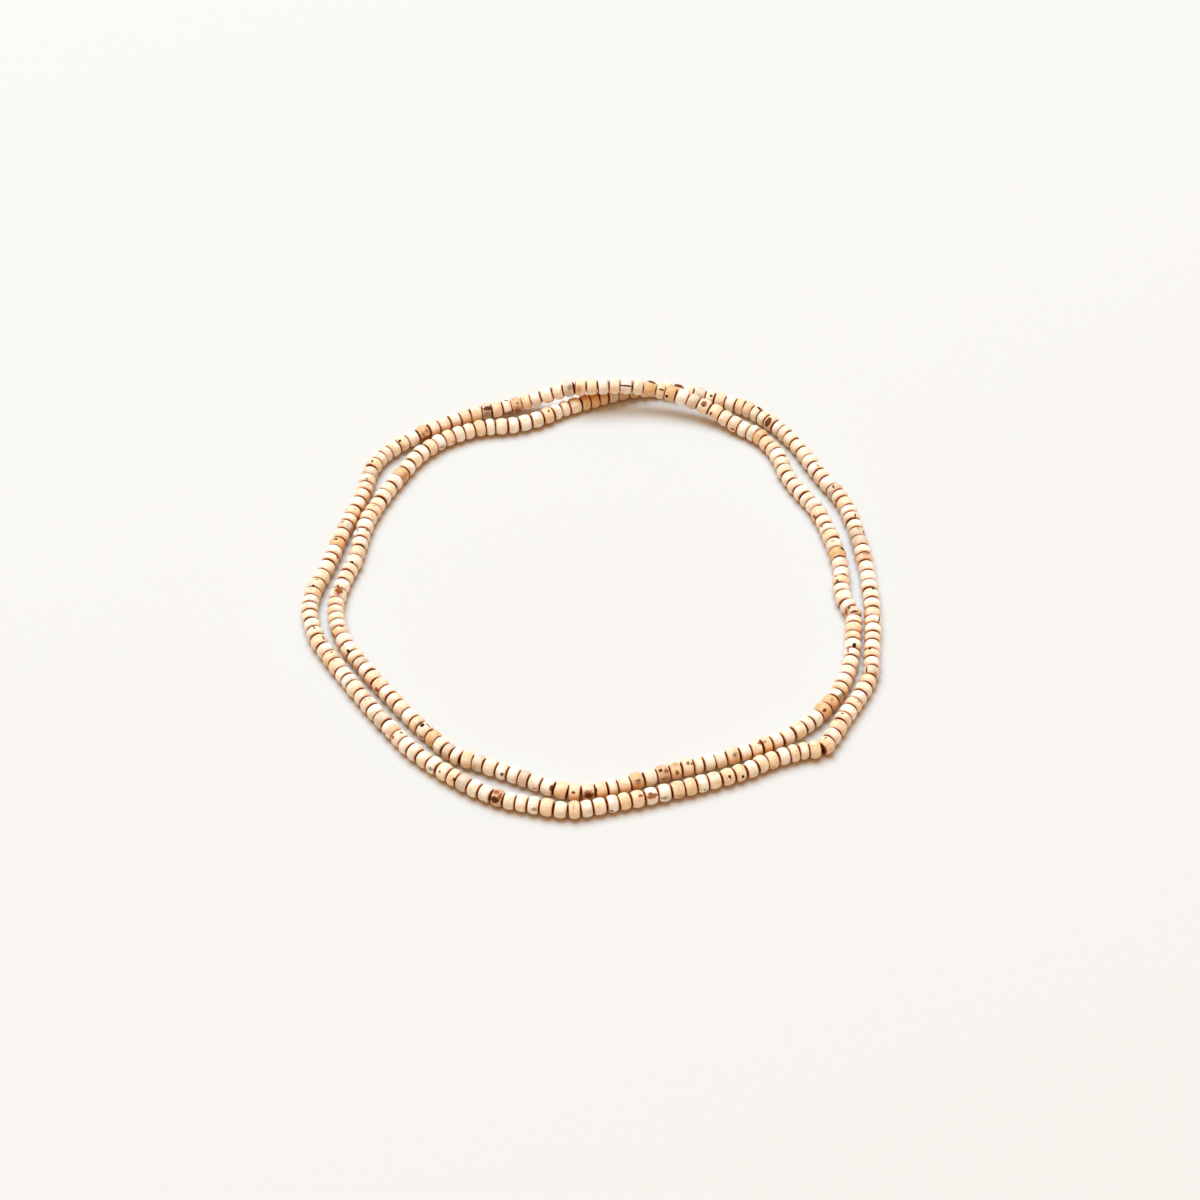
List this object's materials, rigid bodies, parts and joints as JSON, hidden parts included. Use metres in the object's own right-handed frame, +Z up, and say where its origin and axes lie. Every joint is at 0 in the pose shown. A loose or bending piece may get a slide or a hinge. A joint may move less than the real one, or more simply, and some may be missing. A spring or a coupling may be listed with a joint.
{
  "type": "beaded necklace",
  "caption": "Closed strand of small pale turned wooden beads on cotton thread, lying flat in two turns with one crossing and an open middle; no clasp or pendant.",
  "frame": {"origin": "middle of the strand's outline, on the surface that it lies on", "axes": "+Z up from that surface, +Y towards the far side where the two turns cross, +X to the right seen from the near side"},
  "size_m": [0.1372, 0.1412, 0.0087],
  "materials": {
    "bead_wood": "smooth turned wood, unlacquered, satin from handling",
    "thread": "waxed twisted cotton thread"
  },
  "bodies": {
    "root": {"bead_run_01": "bead_wood", "bead_run_02": "bead_wood", "bead_run_03": "bead_wood", "bead_run_04": "bead_wood", "bead_run_05": "bead_wood", "bead_run_06": "bead_wood", "bead_run_07": "bead_wood", "bead_run_08": "bead_wood", "bead_run_09": "bead_wood", "bead_run_10": "bead_wood", "bead_run_11": "bead_wood", "bead_run_12": "bead_wood", "bead_run_13": "bead_wood", "bead_run_14": "bead_wood", "bead_run_15": "bead_wood", "bead_run_16": "bead_wood", "bead_run_17": "bead_wood", "bead_run_18": "bead_wood", "bead_run_19": "bead_wood", "bead_run_20": "bead_wood", "bead_run_21": "bead_wood", "bead_run_22": "bead_wood", "bead_run_23": "bead_wood", "bead_run_24": "bead_wood"}
  },
  "joints": []
}
